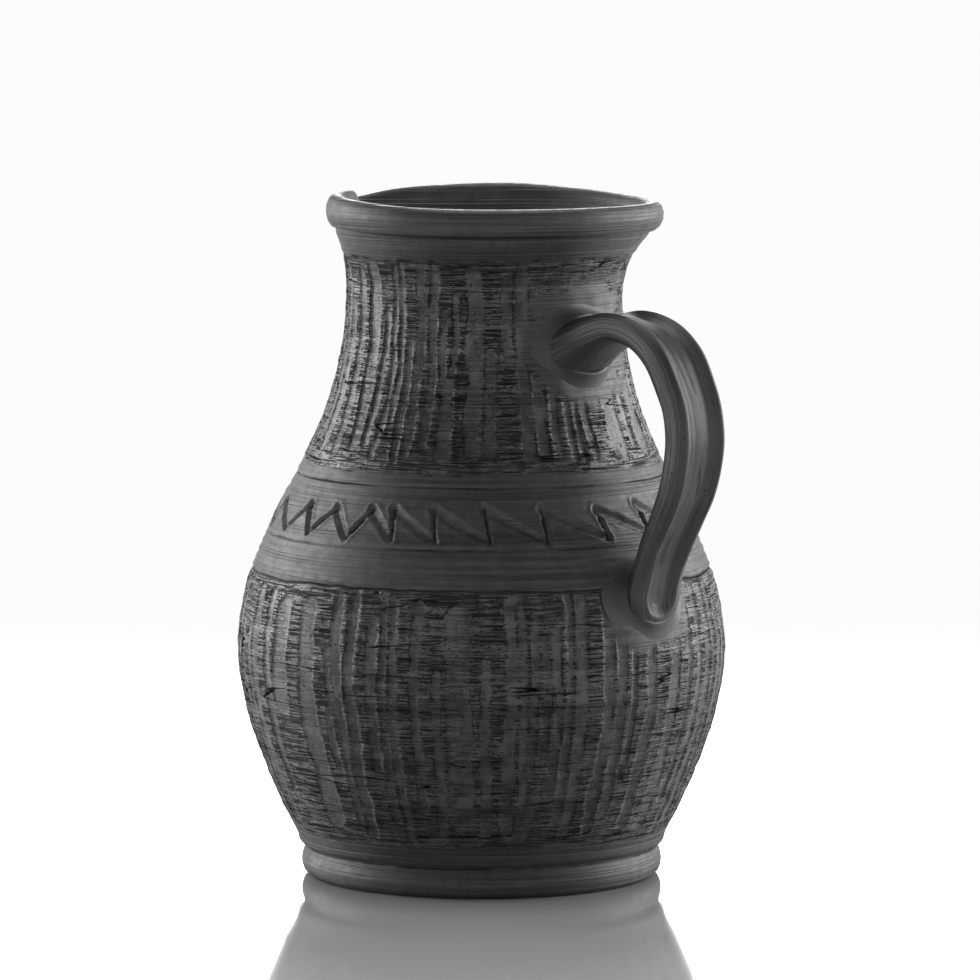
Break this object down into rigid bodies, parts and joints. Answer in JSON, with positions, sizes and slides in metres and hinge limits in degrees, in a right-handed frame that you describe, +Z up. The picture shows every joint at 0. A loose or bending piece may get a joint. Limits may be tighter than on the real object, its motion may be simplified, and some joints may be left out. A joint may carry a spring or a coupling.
{
  "type": "black clay jug",
  "caption": "Wheel-thrown smoke-blackened clay jug: full belly, flared mouth with pouring lip, pulled strap handle, combed and zigzag-incised surface.",
  "frame": {"origin": "centre of the flat base on the jug's axis, on the surface it stands on", "axes": "+Z up along the axis, +X towards the handle, -X towards the pouring lip; XZ is the mirror plane"},
  "size_m": [0.1893, 0.167, 0.2339],
  "materials": {
    "combed_black_clay": "satin, smoke-blackened, combed",
    "burnished_black_clay": "satin, smoke-blackened, burnished"
  },
  "bodies": {
    "root": {"body": "combed_black_clay", "handle": "burnished_black_clay", "upper_joint_clay": "burnished_black_clay", "lower_joint_clay": "burnished_black_clay"}
  },
  "joints": []
}
